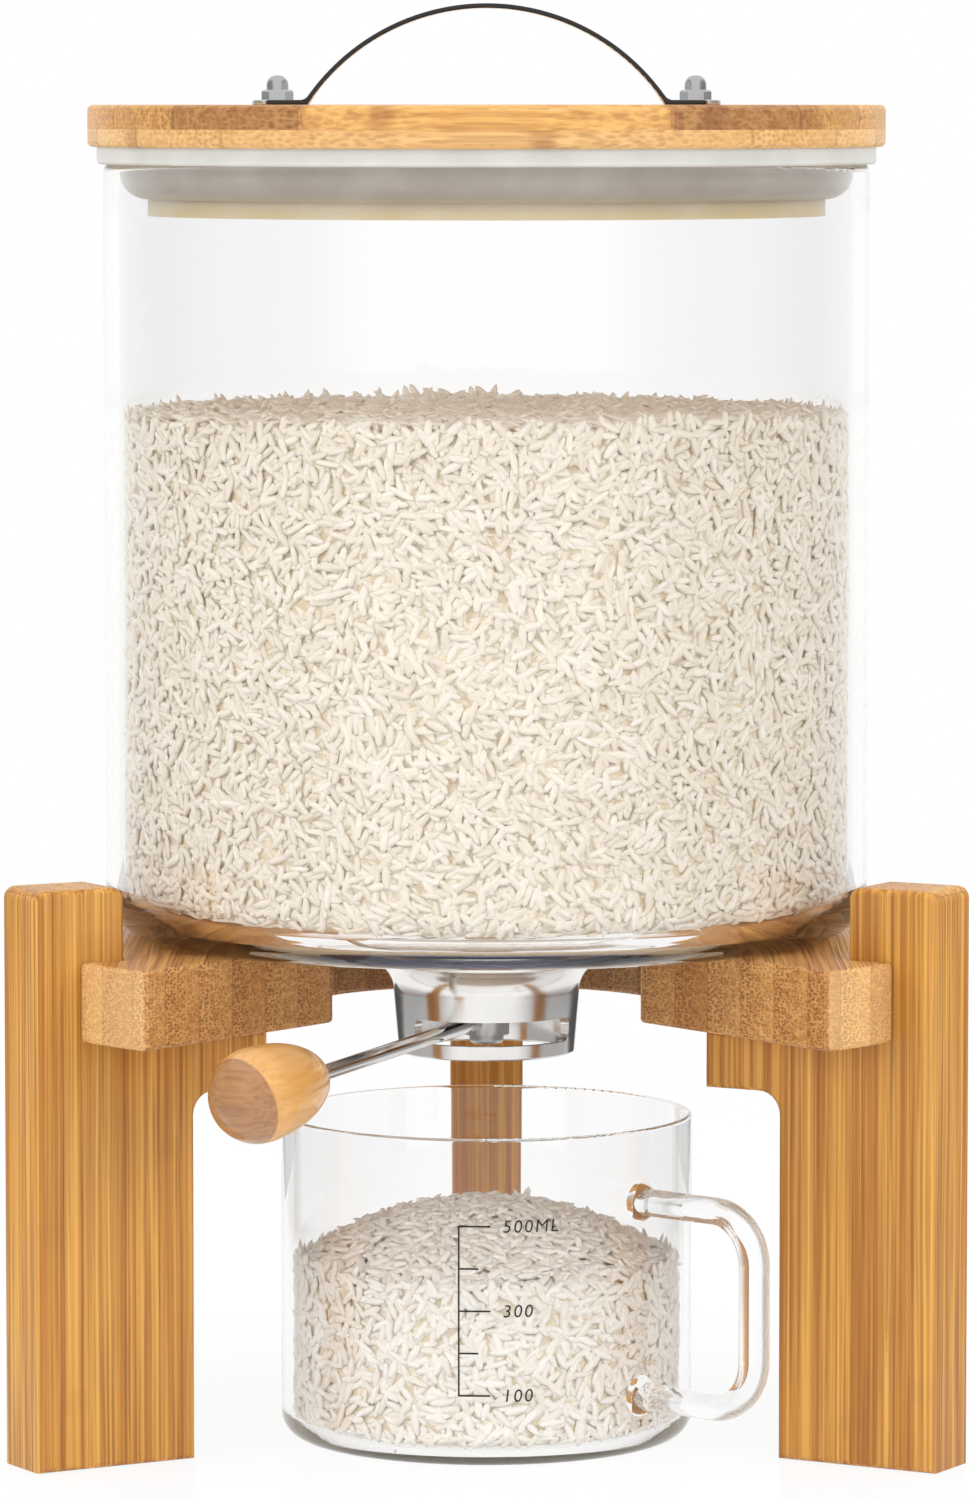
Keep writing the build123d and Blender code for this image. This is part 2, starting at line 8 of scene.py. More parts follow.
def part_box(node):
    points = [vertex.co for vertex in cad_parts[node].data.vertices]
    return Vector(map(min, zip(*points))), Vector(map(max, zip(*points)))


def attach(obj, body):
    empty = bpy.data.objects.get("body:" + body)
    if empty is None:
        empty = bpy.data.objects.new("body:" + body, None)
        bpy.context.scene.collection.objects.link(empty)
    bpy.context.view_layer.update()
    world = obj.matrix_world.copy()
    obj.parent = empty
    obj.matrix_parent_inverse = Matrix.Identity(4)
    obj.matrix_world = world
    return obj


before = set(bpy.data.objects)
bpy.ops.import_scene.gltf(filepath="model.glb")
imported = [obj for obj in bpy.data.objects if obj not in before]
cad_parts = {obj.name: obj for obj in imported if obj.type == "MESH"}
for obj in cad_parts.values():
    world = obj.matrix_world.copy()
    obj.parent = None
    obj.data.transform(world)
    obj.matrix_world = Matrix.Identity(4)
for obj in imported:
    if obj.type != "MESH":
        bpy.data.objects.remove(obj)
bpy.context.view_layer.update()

# Sizes in metres that the solids don't state by their boxes
JAR_WALL = 0.004
JAR_FLOOR = 0.006
JAR_FLOOR_ROUND = 0.008
CUP_WALL = 0.002
CUP_FLOOR = 0.003
CUP_FLOOR_ROUND = 0.0045
LEG_AZIMUTHS = {"left_leg": 210, "right_leg": 330, "back_leg": 90}
LEVER_AZIMUTH = 240
LEVER_DROOP = 3.5
KNOB_END_SHARE = 0.36
KNOB_CUT_BLUR = 0.0003
SEAL_TAN_HEIGHT = 0.0075
KNUCKLE_PITCH = 0.23
TRAPPED_DEPTH = 4.5

# Rice
GRAIN_LENGTH = 0.0070
GRAIN_RADIUS = 0.00122
GRAIN_CLEARANCE = 0.0004
GRAIN_DEPTH_SPREAD = 0.0014
JAR_RICE_TOP = 0.2670
JAR_RICE_PILE = 0.0015
CUP_RICE_EDGE = 0.0440
CUP_RICE_PEAK = 0.0610
CUP_RICE_RISE = 0.003
CUP_RICE_PILE = 0.002
BED_GAP = 0.0024
NECK_CLEARANCE = 0.002
JAR_WALL_SPACING = 0.0019
JAR_TOP_SPACING = 0.0027
JAR_TOP_INSET = 0.004
CUP_WALL_SPACING = 0.0020
CUP_TOP_SPACING = 0.0017
CUP_TOP_INSET = 0.0034
WALL_TILT = 7
WALL_FLATNESS = 0.5
TOP_FLATNESS = 0.7
GRAIN_SIDES = 5
GRAIN_RINGS = ((-0.34, 0.70), (0.02, 1.0), (0.34, 0.66))

# Printed scale on the cup
SCALE_LOWEST = 0.0190
SCALE_STEP = 0.0109
SCALE_LINE_X = -0.0071
SCALE_LINE_WIDTH = 0.00046
LONG_TICK = 0.0081
SHORT_TICK = 0.0050
NUMERAL_X = 0.0040
NUMERAL_HEIGHT = 0.0032
INK_THICKNESS = 0.00005
INK_STEP = 0.0008
NUMERAL_SHARE = 0.69

# Photograph
IMAGE_SIZE = (973, 1500)
FOCAL_PIXELS = 7500
CAMERA_DISTANCE = 1.963
CAMERA_HEIGHT = 0.3486
HORIZON_PIXEL = 100

# Studio
FLOOR_REACH = 6.0
FLOOR_GAP = 0.0002
SIDE_POWER = 17
TOP_POWER = 20
CARD_SIZE = 0.8
CARD_HEIGHT = 0.0006

jar_low, jar_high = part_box("glass_jar")
jar_axis = Vector(((jar_low.x + jar_high.x) / 2, (jar_low.y + jar_high.y) / 2, 0))
jar_inside = (jar_high.x - jar_low.x) / 2 - JAR_WALL
jar_floor_top = jar_low.z + JAR_FLOOR
neck_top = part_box("valve_body")[1].z
nut_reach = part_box("lock_nut")[1].x
seal_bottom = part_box("lid_seal")[0].z
cup_low, cup_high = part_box("cup_glass")
cup_radius = -cup_low.x
cup_axis = Vector((0, cup_high.y - cup_radius, 0))
cup_inside = cup_radius - CUP_WALL
knob_low, knob_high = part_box("lever_knob")
knob_radius = (knob_high.z - knob_low.z) / 2
knob_cut_way = Vector((-0.67, -0.69, -0.27)).normalized()
knob_end_centre = knob_low + Vector((knob_radius, knob_radius, knob_radius))
knob_cut = knob_end_centre + knob_cut_way * knob_radius * KNOB_END_SHARE


# Node helpers


def put(tree, kind, inputs=None, **settings):
    """Adds a node, sets its properties, and sets or links its inputs by name or number."""
    node = tree.nodes.new(kind)
    for name, value in settings.items():
        setattr(node, name, value)
    for name, value in (inputs or {}).items():
        socket = node.inputs[name]
        if isinstance(value, bpy.types.NodeSocket):
            tree.links.new(value, socket)
        else:
            socket.default_value = value
    return node


def math_node(tree, operation, first, second=0.0, clamp=False):
    """One Math node; returns its value socket."""
    node = put(tree, "ShaderNodeMath", {0: first, 1: second}, operation=operation, use_clamp=clamp)
    return node.outputs[0]


def ramp(tree, value, low, high, start=0.0, end=1.0):
    """Smoothly maps value from low..high to start..end."""
    node = put(
        tree,
        "ShaderNodeMapRange",
        {"Value": value, "From Min": low, "From Max": high, "To Min": start, "To Max": end},
        interpolation_type="SMOOTHSTEP",
    )
    return node.outputs["Result"]


def object_place(tree):
    """The place on the piece, in metres at rest."""
    return put(tree, "ShaderNodeTexCoord").outputs["Object"]


def stretch(tree, vector, shares):
    """Multiplies a vector by one share for each direction."""
    return put(tree, "ShaderNodeVectorMath", {0: vector, 1: shares}, operation="MULTIPLY").outputs[0]


def noise(tree, vector, scale, detail):
    """One Noise texture; returns its value socket."""
    node = put(tree, "ShaderNodeTexNoise", {"Vector": vector, "Scale": scale, "Detail": detail})
    return node.outputs["Fac"]


def base_colour(shader):
    """The socket that feeds a shader's Base Color so far."""
    return shader.inputs["Base Color"].links[0].from_socket


def blend_colour(tree, factor, first, second, blend_type="MIX"):
    """Mixes two colours, given as values or sockets."""
    node = put(tree, "ShaderNodeMix", data_type="RGBA", blend_type=blend_type, clamp_factor=True)
    for socket, value in zip((node.inputs[0], node.inputs[6], node.inputs[7]), (factor, first, second)):
        if isinstance(value, bpy.types.NodeSocket):
            tree.links.new(value, socket)
        else:
            socket.default_value = value
    return node.outputs[2]


def new_group(name, inputs, outputs):
    """A shader node group with named sockets; returns the tree, its input node and its output node."""
    tree = bpy.data.node_groups.new(name, "ShaderNodeTree")
    for socket_name, (socket_type, default) in inputs.items():
        socket = tree.interface.new_socket(socket_name, in_out="INPUT", socket_type=socket_type)
        if default is not None:
            socket.default_value = default
    for socket_name, socket_type in outputs.items():
        tree.interface.new_socket(socket_name, in_out="OUTPUT", socket_type=socket_type)
    return tree, tree.nodes.new("NodeGroupInput"), tree.nodes.new("NodeGroupOutput")


def new_material(name):
    """A material with one Principled shader; returns the material, its tree and the shader."""
    material = bpy.data.materials.new(name)
    material.use_nodes = True
    return material, material.node_tree, material.node_tree.nodes["Principled BSDF"]


def colour(red, green, blue):
    """Linear colour from 8-bit screen values."""

    def linear(value):
        value = value / 255
        return value / 12.92 if value <= 0.04045 else ((value + 0.055) / 1.055) ** 2.4

    return (linear(red), linear(green), linear(blue), 1.0)


# Shared surface effects


def bamboo_group():
    """Laminated bamboo as a solid: strips side by side in x, bundles that run along z."""
    tree, source, sink = new_group(
        "bamboo_lamination",
        {
            "Vector": ("NodeSocketVector", None),
            "Strip Width": ("NodeSocketFloat", 0.008),
            "Strip Depth": ("NodeSocketFloat", 0.02),
            "Pale": ("NodeSocketColor", colour(226, 178, 108)),
            "Deep": ("NodeSocketColor", colour(196, 134, 66)),
            "Bundle": ("NodeSocketColor", colour(120, 66, 26)),
            "Bundle Amount": ("NodeSocketFloat", 0.6),
            "Bundle Scale": ("NodeSocketFloat", 820.0),
            "Strip Contrast": ("NodeSocketFloat", 0.55),
            "Knuckles": ("NodeSocketFloat", 0.4),
            "Seed": ("NodeSocketFloat", 0.0),
        },
        {"Color": "NodeSocketColor", "Height": "NodeSocketFloat", "Roughness": "NodeSocketFloat"},
    )
    place = put(tree, "ShaderNodeSeparateXYZ", {0: source.outputs["Vector"]})
    across, through, along = place.outputs
    strip_at = math_node(tree, "DIVIDE", across, source.outputs["Strip Width"])
    layer_at = math_node(tree, "DIVIDE", through, source.outputs["Strip Depth"])
    strip = math_node(tree, "FLOOR", strip_at)
    layer = math_node(tree, "FLOOR", layer_at)
    in_strip = math_node(tree, "SUBTRACT", strip_at, strip)
    cell = put(tree, "ShaderNodeCombineXYZ", {"X": strip, "Y": layer, "Z": source.outputs["Seed"]})
    chance = put(tree, "ShaderNodeTexWhiteNoise", {"Vector": cell.outputs[0]}, noise_dimensions="3D")
    shift = stretch(tree, chance.outputs["Color"], (0.3, 0.3, 0.3))
    moved = put(tree, "ShaderNodeVectorMath", {0: source.outputs["Vector"], 1: shift}).outputs[0]

    bend = stretch(tree, moved, (25, 25, 12))
    bend = put(tree, "ShaderNodeTexNoise", {"Vector": bend, "Scale": 1.0, "Detail": 1.0}).outputs["Color"]
    bend = stretch(tree, bend, (0.0022, 0.0022, 0))
    swayed = put(tree, "ShaderNodeVectorMath", {0: moved, 1: bend}).outputs[0]
    bundles = put(
        tree,
        "ShaderNodeTexVoronoi",
        {"Vector": swayed, "Scale": source.outputs["Bundle Scale"], "Randomness": 0.8},
        feature="F1",
        voronoi_dimensions="2D",
    ).outputs["Distance"]
    dots = ramp(tree, bundles, 0.20, 0.58, 1.0, 0.0)
    lengths = stretch(tree, moved, (900, 900, 22))
    lengths = noise(tree, lengths, 1.0, 1.0)
    fading = ramp(tree, lengths, 0.30, 0.60, 0.35, 1.0)
    crowd = ramp(tree, in_strip, 0.0, 1.0, 1.0, 0.55)
    bundle_mask = math_node(tree, "MULTIPLY", math_node(tree, "MULTIPLY", dots, crowd), fading)
    bundle_mask = math_node(tree, "MULTIPLY", bundle_mask, source.outputs["Bundle Amount"])

    fine = stretch(tree, moved, (520, 520, 4))
    fibres = put(
        tree,
        "ShaderNodeTexNoise",
        {"Vector": fine, "Scale": 1.0, "Detail": 4.0, "Roughness": 0.6},
    )
    fibre_tone = ramp(tree, fibres.outputs["Fac"], 0.36, 0.62)

    broad = stretch(tree, moved, (60, 60, 7))
    clouds = noise(tree, broad, 1.0, 2.0)

    strip_tone = math_node(tree, "MULTIPLY", chance.outputs["Value"], source.outputs["Strip Contrast"])
    fibre_share = math_node(tree, "SUBTRACT", 1.0, source.outputs["Strip Contrast"])
    fibre_part = math_node(tree, "MULTIPLY", fibre_tone, fibre_share)
    tone = math_node(tree, "ADD", strip_tone, fibre_part, clamp=True)
    body = blend_colour(tree, tone, source.outputs["Deep"], source.outputs["Pale"])
    cloud_share = ramp(tree, clouds, 0.35, 0.75, 0.0, 0.25)
    body = blend_colour(tree, cloud_share, body, source.outputs["Deep"])
    body = blend_colour(tree, bundle_mask, body, source.outputs["Bundle"])

    knuckle_at = math_node(tree, "ADD", along, math_node(tree, "MULTIPLY", chance.outputs["Value"], 3.7))
    wobble = math_node(tree, "MULTIPLY", math_node(tree, "SUBTRACT", clouds, 0.5), 0.006)
    knuckle_at = math_node(tree, "DIVIDE", math_node(tree, "ADD", knuckle_at, wobble), KNUCKLE_PITCH)
    knuckle_at = math_node(tree, "FRACT", knuckle_at)
    knuckle = math_node(tree, "ABSOLUTE", math_node(tree, "SUBTRACT", knuckle_at, 0.5))
    knuckle = ramp(tree, knuckle, 0.004, 0.022, 1.0, 0.0)
    knuckle = math_node(tree, "MULTIPLY", knuckle, source.outputs["Knuckles"])
    body = blend_colour(tree, knuckle, body, source.outputs["Bundle"])

    seam = ramp(tree, math_node(tree, "ABSOLUTE", math_node(tree, "SUBTRACT", in_strip, 0.5)), 0.470, 0.5)
    body = blend_colour(tree, math_node(tree, "MULTIPLY", seam, 0.35), body, source.outputs["Bundle"])

    height = math_node(tree, "SUBTRACT", fibre_tone, math_node(tree, "ADD", bundle_mask, seam))
    roughness = ramp(tree, math_node(tree, "ADD", bundle_mask, fibre_tone), 0.0, 1.6, 0.34, 0.52)
    tree.links.new(body, sink.inputs["Color"])
    tree.links.new(height, sink.inputs["Height"])
    tree.links.new(roughness, sink.inputs["Roughness"])
    return tree


def hairline_group():
    """Fine handling marks and smears on metal: a roughness and a height."""
    tree, source, sink = new_group(
        "metal_handling",
        {
            "Vector": ("NodeSocketVector", None),
            "Low": ("NodeSocketFloat", 0.06),
            "High": ("NodeSocketFloat", 0.16),
            "Line Scale": ("NodeSocketFloat", 1500.0),
        },
        {"Roughness": "NodeSocketFloat", "Height": "NodeSocketFloat"},
    )
    smear = noise(tree, source.outputs["Vector"], 45.0, 3.0)
    drawn = stretch(tree, source.outputs["Vector"], (0.02, 0.02, 1.0))
    lines = noise(tree, drawn, source.outputs["Line Scale"], 2.0)
    share = ramp(tree, smear, 0.35, 0.70)
    spread = math_node(tree, "SUBTRACT", source.outputs["High"], source.outputs["Low"])
    roughness = math_node(tree, "ADD", source.outputs["Low"], math_node(tree, "MULTIPLY", spread, share))
    tree.links.new(roughness, sink.inputs["Roughness"])
    tree.links.new(lines, sink.inputs["Height"])
    return tree


BAMBOO = bamboo_group()
HAIRLINE = hairline_group()


# Materials


def fibre_rotation(fibre, strip):
    """Rotation that turns the fibre direction to z and the strip direction to x."""
    fibre = Vector(fibre).normalized()
    strip = Vector(strip).normalized()
    return Matrix((strip, fibre.cross(strip), fibre)).to_euler("XYZ")


def bamboo(name, fibre, strip, strip_width, tones, amount, seed, depth=0.05, **finish):
    """Oiled bamboo whose strips lie along a given direction."""
    material, tree, shader = new_material(name)
    place = object_place(tree)
    shift = (finish.get("shift", 0.0), 0, 0)
    turned = put(
        tree,
        "ShaderNodeMapping",
        {"Vector": place, "Rotation": fibre_rotation(fibre, strip), "Location": shift},
    )
    wood = put(tree, "ShaderNodeGroup", node_tree=BAMBOO)
    tree.links.new(turned.outputs[0], wood.inputs["Vector"])
    wood.inputs["Strip Width"].default_value = strip_width
    wood.inputs["Strip Depth"].default_value = depth
    for socket_name, tone in zip(("Pale", "Deep", "Bundle"), tones):
        wood.inputs[socket_name].default_value = tone
    wood.inputs["Strip Contrast"].default_value = finish.get("contrast", 0.55)
    wood.inputs["Knuckles"].default_value = finish.get("knuckles", 0.4)
    wood.inputs["Bundle Scale"].default_value = finish.get("bundle_scale", 820.0)
    wood.inputs["Bundle Amount"].default_value = amount
    wood.inputs["Seed"].default_value = seed
    bump = put(
        tree,
        "ShaderNodeBump",
        {"Strength": 0.25, "Distance": 0.0001, "Height": wood.outputs["Height"]},
    )
    tree.links.new(wood.outputs["Color"], shader.inputs["Base Color"])
    tree.links.new(wood.outputs["Roughness"], shader.inputs["Roughness"])
    tree.links.new(bump.outputs[0], shader.inputs["Normal"])
    shader.inputs["Coat Weight"].default_value = finish.get("coat", 0.08)
    shader.inputs["Coat Roughness"].default_value = 0.25
    return material


def stain_strip(material, low, high, tint):
    """Darkens one strip of a lid board, given by its distance from the jar's axis in y."""
    tree = material.node_tree
    shader = tree.nodes["Principled BSDF"]
    place = object_place(tree)
    across = put(tree, "ShaderNodeSeparateXYZ", {0: place}).outputs["Y"]
    after = math_node(tree, "GREATER_THAN", across, jar_axis.y + low)
    before = math_node(tree, "LESS_THAN", across, jar_axis.y + high)
    plain = base_colour(shader)
    stained = blend_colour(tree, math_node(tree, "MULTIPLY", after, before), plain, tint, "MULTIPLY")
    tree.links.new(stained, shader.inputs["Base Color"])


def painted_lit_rim(material):
    """Painted light: the shelf's outer face is painted paler than the walls of its gap, as if it caught
    more light.
    """
    tree = material.node_tree
    shader = tree.nodes["Principled BSDF"]
    shelf_low, shelf_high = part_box("ring_shelf")
    shelf_radius = (shelf_high.x - shelf_low.x) / 2
    place = object_place(tree)
    outward = put(tree, "ShaderNodeVectorMath", {0: place, 1: jar_axis}, operation="SUBTRACT").outputs[0]
    outward = stretch(tree, outward, (1, 1, 0))
    reach = put(tree, "ShaderNodeVectorMath", {0: outward}, operation="LENGTH").outputs["Value"]
    # painted light: the outermost millimetre of the shelf is blended toward a pale tone, as if lit
    lit_rim_share = ramp(tree, reach, shelf_radius - 0.0009, shelf_radius - 0.0004, 0.0, 0.28)
    plain = base_colour(shader)
    tree.links.new(blend_colour(tree, lit_rim_share, plain, colour(246, 208, 148)), shader.inputs["Base Color"])


def knob_wood():
    """Lacquered knob: grain along the lever, and a darker outer end."""
    way = Vector((math.cos(math.radians(LEVER_AZIMUTH)), math.sin(math.radians(LEVER_AZIMUTH)), 0))
    way = (way - Vector((0, 0, math.tan(math.radians(LEVER_DROOP))))).normalized()
    side = way.cross(Vector((0, 0, 1))).normalized()
    body_tones = (colour(226, 176, 104), colour(206, 148, 78), colour(160, 104, 52))
    material = bamboo("knob_wood", way, side, 0.05, body_tones, 0.2, 21, coat=0.8, knuckles=0.0)
    tree = material.node_tree
    shader = tree.nodes["Principled BSDF"]
    shader.inputs["Coat Roughness"].default_value = 0.08
    place = object_place(tree)
    cut = put(tree, "ShaderNodeVectorMath", {0: place, 1: knob_cut}, operation="SUBTRACT").outputs[0]
    reach = put(tree, "ShaderNodeVectorMath", {0: cut, 1: knob_cut_way}, operation="DOT_PRODUCT")
    end = ramp(tree, reach.outputs["Value"], -KNOB_CUT_BLUR, KNOB_CUT_BLUR)
    turned = put(tree, "ShaderNodeMapping", {"Vector": place, "Rotation": fibre_rotation(side, way)})
    grain = put(tree, "ShaderNodeGroup", {"Vector": turned.outputs[0]}, node_tree=BAMBOO)
    grain.inputs["Pale"].default_value = colour(176, 128, 82)
    grain.inputs["Deep"].default_value = colour(148, 100, 60)
    grain.inputs["Bundle"].default_value = colour(104, 66, 38)
    grain.inputs["Strip Width"].default_value = 0.05
    grain.inputs["Bundle Amount"].default_value = 0.4
    plain = base_colour(shader)
    tree.links.new(blend_colour(tree, end, plain, grain.outputs["Color"]), shader.inputs["Base Color"])
    return material


def steel(name, tint, low, high, line_strength):
    """Bare steel with smears and fine lines."""
    material, tree, shader = new_material(name)
    place = object_place(tree)
    marks = put(tree, "ShaderNodeGroup", node_tree=HAIRLINE)
    tree.links.new(place, marks.inputs["Vector"])
    marks.inputs["Low"].default_value = low
    marks.inputs["High"].default_value = high
    bump = put(
        tree,
        "ShaderNodeBump",
        {"Strength": line_strength, "Distance": 0.00005, "Height": marks.outputs["Height"]},
    )
    smear = ramp(tree, marks.outputs["Roughness"], low, high)
    dulled = tuple(0.93 * value for value in tint[:3]) + (1.0,)
    tree.links.new(blend_colour(tree, smear, tint, dulled), shader.inputs["Base Color"])
    shader.inputs["Metallic"].default_value = 1.0
    tree.links.new(marks.outputs["Roughness"], shader.inputs["Roughness"])
    tree.links.new(bump.outputs[0], shader.inputs["Normal"])
    return material


def strap_steel():
    """Polished strip with painted shade: dark bands along its front and back edges stand in for the shade
    where its edges turn away from the light.
    """
    material = steel("strap_steel", (0.70, 0.695, 0.69, 1.0), 0.08, 0.14, 0.02)
    tree = material.node_tree
    shader = tree.nodes["Principled BSDF"]
    strap_low, strap_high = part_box("lid_handle")
    place = object_place(tree)
    across = put(tree, "ShaderNodeSeparateXYZ", {0: place}).outputs["Y"]
    middle = (strap_low.y + strap_high.y) / 2
    reach = math_node(tree, "ABSOLUTE", math_node(tree, "SUBTRACT", across, middle))
    half_width = (strap_high.y - strap_low.y) / 2
    edge = ramp(tree, reach, half_width - 0.0003, half_width - 0.0001)
    plain = base_colour(shader)
    # painted shade: near-black colour on the strap's front and back edges
    painted_edge_shade = (0.05, 0.05, 0.052, 1.0)
    tree.links.new(blend_colour(tree, edge, plain, painted_edge_shade), shader.inputs["Base Color"])
    return material


def clear_glass(name, absorption, wave):
    """Clear glass, slightly wavy, darker where light passes through more of it."""
    material, tree, shader = new_material(name)
    place = object_place(tree)
    waves = noise(tree, place, 28.0, 1.0)
    bump = put(tree, "ShaderNodeBump", {"Strength": wave, "Distance": 0.001, "Height": waves})
    shader.inputs["Base Color"].default_value = (1.0, 1.0, 1.0, 1.0)
    shader.inputs["Roughness"].default_value = 0.0
    shader.inputs["IOR"].default_value = 1.47
    shader.inputs["Transmission Weight"].default_value = 1.0
    tree.links.new(bump.outputs[0], shader.inputs["Normal"])
    path = put(tree, "ShaderNodeLightPath")
    trapped = math_node(tree, "GREATER_THAN", path.outputs["Ray Depth"], TRAPPED_DEPTH)
    let_through = math_node(tree, "MAXIMUM", path.outputs["Is Shadow Ray"], trapped)
    clear = put(tree, "ShaderNodeBsdfTransparent", {"Color": (1.0, 1.0, 1.0, 1.0)})
    mixed = put(tree, "ShaderNodeMixShader", {0: let_through, 1: shader.outputs[0], 2: clear.outputs[0]})
    tint = (0.66, 0.74, 0.73, 1.0)
    depth_tint = put(tree, "ShaderNodeVolumeAbsorption", {"Color": tint, "Density": absorption})
    output = tree.nodes["Material Output"]
    tree.links.new(mixed.outputs[0], output.inputs["Surface"])
    tree.links.new(depth_tint.outputs[0], output.inputs["Volume"])
    return material


def silicone():
    """Milky seal with a faint cloudiness."""
    material, tree, shader = new_material("seal_silicone")
    place = object_place(tree)
    cloud = noise(tree, place, 60.0, 3.0)
    height = put(tree, "ShaderNodeSeparateXYZ", {0: place}).outputs["Z"]
    rise = ramp(tree, height, seal_bottom, seal_bottom + SEAL_TAN_HEIGHT)
    body = blend_colour(tree, rise, colour(208, 188, 144), colour(168, 157, 146))
    above_rim = ramp(tree, height, jar_high.z - 0.001, jar_high.z + 0.001)
    body = blend_colour(tree, above_rim, body, colour(196, 196, 190))
    milk = blend_colour(tree, ramp(tree, cloud, 0.3, 0.7, 0.0, 0.2), body, colour(236, 237, 234))
    tree.links.new(milk, shader.inputs["Base Color"])
    tree.links.new(ramp(tree, cloud, 0.3, 0.7, 0.32, 0.42), shader.inputs["Roughness"])
    shader.inputs["Subsurface Weight"].default_value = 0.5
    shader.inputs["Subsurface Radius"].default_value = (0.004, 0.004, 0.004)
    shader.inputs["Subsurface Scale"].default_value = 1.0
    return material


def rubber():
    """Bluish grey gasket rubber."""
    material, tree, shader = new_material("gasket_rubber")
    place = object_place(tree)
    grain = noise(tree, place, 900.0, 2.0)
    tone = blend_colour(tree, grain, colour(128, 146, 196), colour(176, 190, 220))
    tree.links.new(tone, shader.inputs["Base Color"])
    tree.links.new(ramp(tree, grain, 0.3, 0.7, 0.5, 0.65), shader.inputs["Roughness"])
    return material


def rice(name, pale, deep):
    """Polished rice: each grain has its own tone, kept on the mesh as grain_tone."""
    material, tree, shader = new_material(name)
    place = object_place(tree)
    tone = put(tree, "ShaderNodeAttribute", attribute_name="grain_tone").outputs["Fac"]
    chalk = noise(tree, place, 420.0, 2.0)
    share = math_node(tree, "ADD", tone, ramp(tree, chalk, 0.4, 0.8, -0.12, 0.18), clamp=True)
    tree.links.new(blend_colour(tree, share, deep, pale), shader.inputs["Base Color"])
    tree.links.new(ramp(tree, chalk, 0.3, 0.7, 0.36, 0.5), shader.inputs["Roughness"])
    shader.inputs["Specular IOR Level"].default_value = 0.25
    return material


def rice_bed(name, pale, deep):
    """The shaded rice between the outer grains."""
    material, tree, shader = new_material(name)
    place = object_place(tree)
    lumps = put(tree, "ShaderNodeTexVoronoi", {"Vector": place, "Scale": 330.0}).outputs["Distance"]
    tree.links.new(blend_colour(tree, ramp(tree, lumps, 0.1, 0.7), pale, deep), shader.inputs["Base Color"])
    bump = put(tree, "ShaderNodeBump", {"Strength": 0.3, "Distance": 0.001, "Height": lumps})
    tree.links.new(bump.outputs[0], shader.inputs["Normal"])
    shader.inputs["Roughness"].default_value = 0.6
    return material


def ink():
    """Black screen print."""
    material, tree, shader = new_material("scale_ink")
    place = object_place(tree)
    patch = noise(tree, place, 2500.0, 2.0)
    tone = blend_colour(tree, patch, colour(10, 10, 10), colour(32, 30, 30))
    tree.links.new(tone, shader.inputs["Base Color"])
    shader.inputs["Roughness"].default_value = 0.55
    return material


leg_pale = colour(230, 174, 84)
leg_deep = colour(168, 104, 28)
leg_bundle = colour(124, 70, 22)
shelf_pale = colour(222, 172, 106)
shelf_deep = colour(174, 114, 56)
shelf_bundle = colour(100, 54, 22)
lid_pale = colour(228, 180, 104)
lid_deep = colour(188, 130, 70)
lid_bundle = colour(132, 74, 32)
lower_ply_pale = colour(234, 192, 130)
lower_ply_deep = colour(208, 160, 98)

polished_steel = steel("polished_steel", (0.70, 0.695, 0.69, 1.0), 0.10, 0.20, 0.06)
nut_steel = steel("nut_steel", (0.50, 0.50, 0.505, 1.0), 0.06, 0.12, 0.02)
satin_steel = steel("satin_steel", (0.90, 0.885, 0.865, 1.0), 0.15, 0.24, 0.06)
brushed_steel = steel("brushed_steel", (0.62, 0.62, 0.62, 1.0), 0.22, 0.34, 0.3)
zinc_steel = steel("zinc_steel", (0.56, 0.57, 0.58, 1.0), 0.28, 0.42, 0.2)
jar_glass = clear_glass("jar_glass", 1.5, 0.03)
cup_glass = clear_glass("cup_glass", 8.0, 0.05)
seal_silicone = silicone()
gasket_rubber = rubber()
jar_rice = rice("jar_rice", colour(243, 237, 226), colour(233, 223, 207))
cup_rice = rice("cup_rice", colour(249, 246, 240), colour(241, 234, 223))
jar_rice_bed = rice_bed("jar_rice_bed", colour(236, 223, 200), colour(220, 203, 174))
cup_rice_bed = rice_bed("cup_rice_bed", colour(240, 228, 206), colour(224, 208, 180))
scale_ink = ink()


def dress(node, material):
    """Gives a CAD node its material."""
    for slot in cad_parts[node].material_slots:
        slot.material = material


leg_tones = (leg_pale, leg_deep, leg_bundle)
shelf_tones = (shelf_pale, shelf_deep, shelf_bundle)
lid_tones = (lid_pale, lid_deep, lid_bundle)
lower_ply_tones = (lower_ply_pale, lower_ply_deep, lid_bundle)
for leg, azimuth in LEG_AZIMUTHS.items():
    outward = (math.cos(math.radians(azimuth)), math.sin(math.radians(azimuth)), 0)
    plank = ((0, 0, 1), outward, 0.0068)
    dress(leg, bamboo(f"{leg}_bamboo", *plank, leg_tones, 0.6, azimuth, contrast=0.3, knuckles=0.08))
end_grain = {"bundle_scale": 1250.0, "contrast": 0.6}
shelf_bamboo = bamboo("shelf_bamboo", (0, 1, 0), (1, 0, 0), 0.0081, shelf_tones, 0.8, 3, **end_grain)
painted_lit_rim(shelf_bamboo)
dress("ring_shelf", shelf_bamboo)
board = ((1, 0, 0), (0, 1, 0), 0.0258)
top_ply_bamboo = bamboo("top_ply_bamboo", *board, lid_tones, 0.5, 11, shift=0.0027, contrast=0.4)
stain_strip(top_ply_bamboo, -0.0929, -0.0671, (0.62, 0.56, 0.60, 1.0))
stain_strip(top_ply_bamboo, -0.0671, -0.0413, (0.80, 0.75, 0.72, 1.0))
dress("lid_top_ply", top_ply_bamboo)
dress("lid_lower_ply", bamboo("lower_ply_bamboo", *board, lower_ply_tones, 0.4, 12, shift=0.015))
dress("lid_plug", bamboo("plug_bamboo", *board, lower_ply_tones, 0.4, 13))
